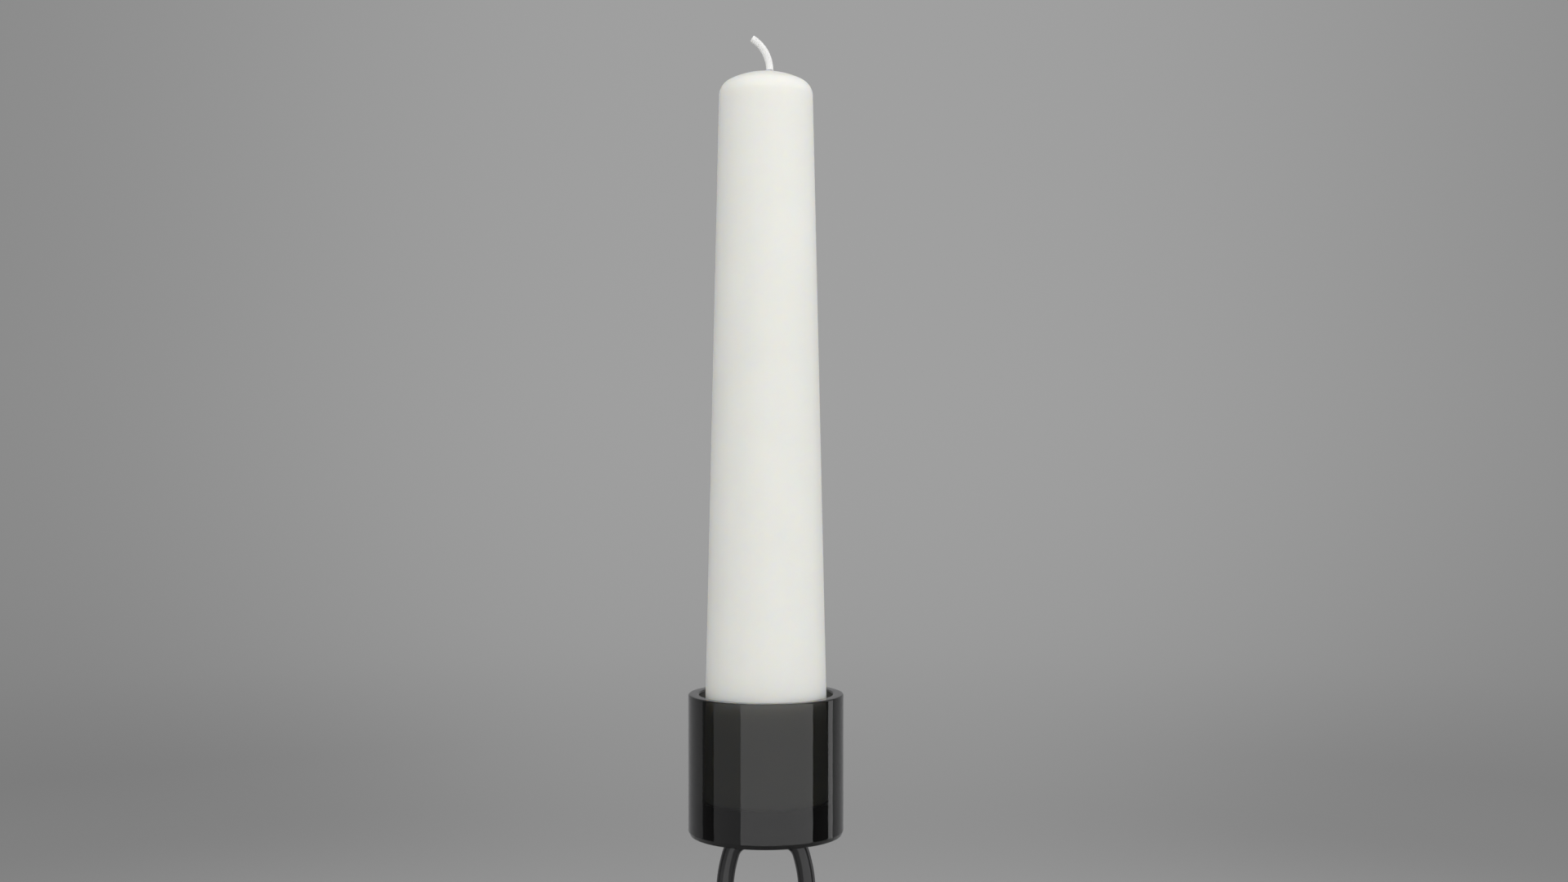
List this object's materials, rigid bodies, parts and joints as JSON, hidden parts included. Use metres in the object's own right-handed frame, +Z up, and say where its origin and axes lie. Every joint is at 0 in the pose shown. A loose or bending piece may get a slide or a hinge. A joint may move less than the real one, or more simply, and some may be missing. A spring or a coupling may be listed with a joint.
{
  "type": "candle holder with candle",
  "caption": "Smoked-glass cup on an arched black steel rod and round base plate, holding a tall tapered candle that lifts out.",
  "frame": {"origin": "centre of the footprint, on the surface the felt pads rest on", "axes": "+Z up along the candle; the arch lies in the XZ plane; the wick curls towards -X; the front faces -Y"},
  "size_m": [0.12, 0.12, 0.3742],
  "materials": {
    "wax": "smooth satin wax, slightly translucent",
    "wick": "braided white cotton",
    "smoked_glass": "polished, very dark smoked glass",
    "fastener_steel": "plain stainless",
    "gasket": "translucent silicone",
    "black_enamel": "gloss black enamel on steel",
    "felt": "dark pressed felt"
  },
  "bodies": {
    "stand": {"glass_cup": "smoked_glass", "cup_screw": "fastener_steel", "cup_washer": "fastener_steel", "cup_gasket_upper": "gasket", "cup_gasket_lower": "gasket", "arch_boss": "black_enamel", "arch_rod": "black_enamel", "base_plate": "black_enamel", "base_screw_left": "fastener_steel", "base_screw_right": "fastener_steel", "foot_pad_front_left": "felt", "foot_pad_front_right": "felt", "foot_pad_back_left": "felt", "foot_pad_back_right": "felt"},
    "candle": {"candle_wax": "wax", "candle_wick": "wick"}
  },
  "joints": [
    {"name": "candle_lift", "type": "slide", "parent": "stand", "child": "candle", "axis": [0, 0, 1], "range_m": [0, 0.06]}
  ]
}
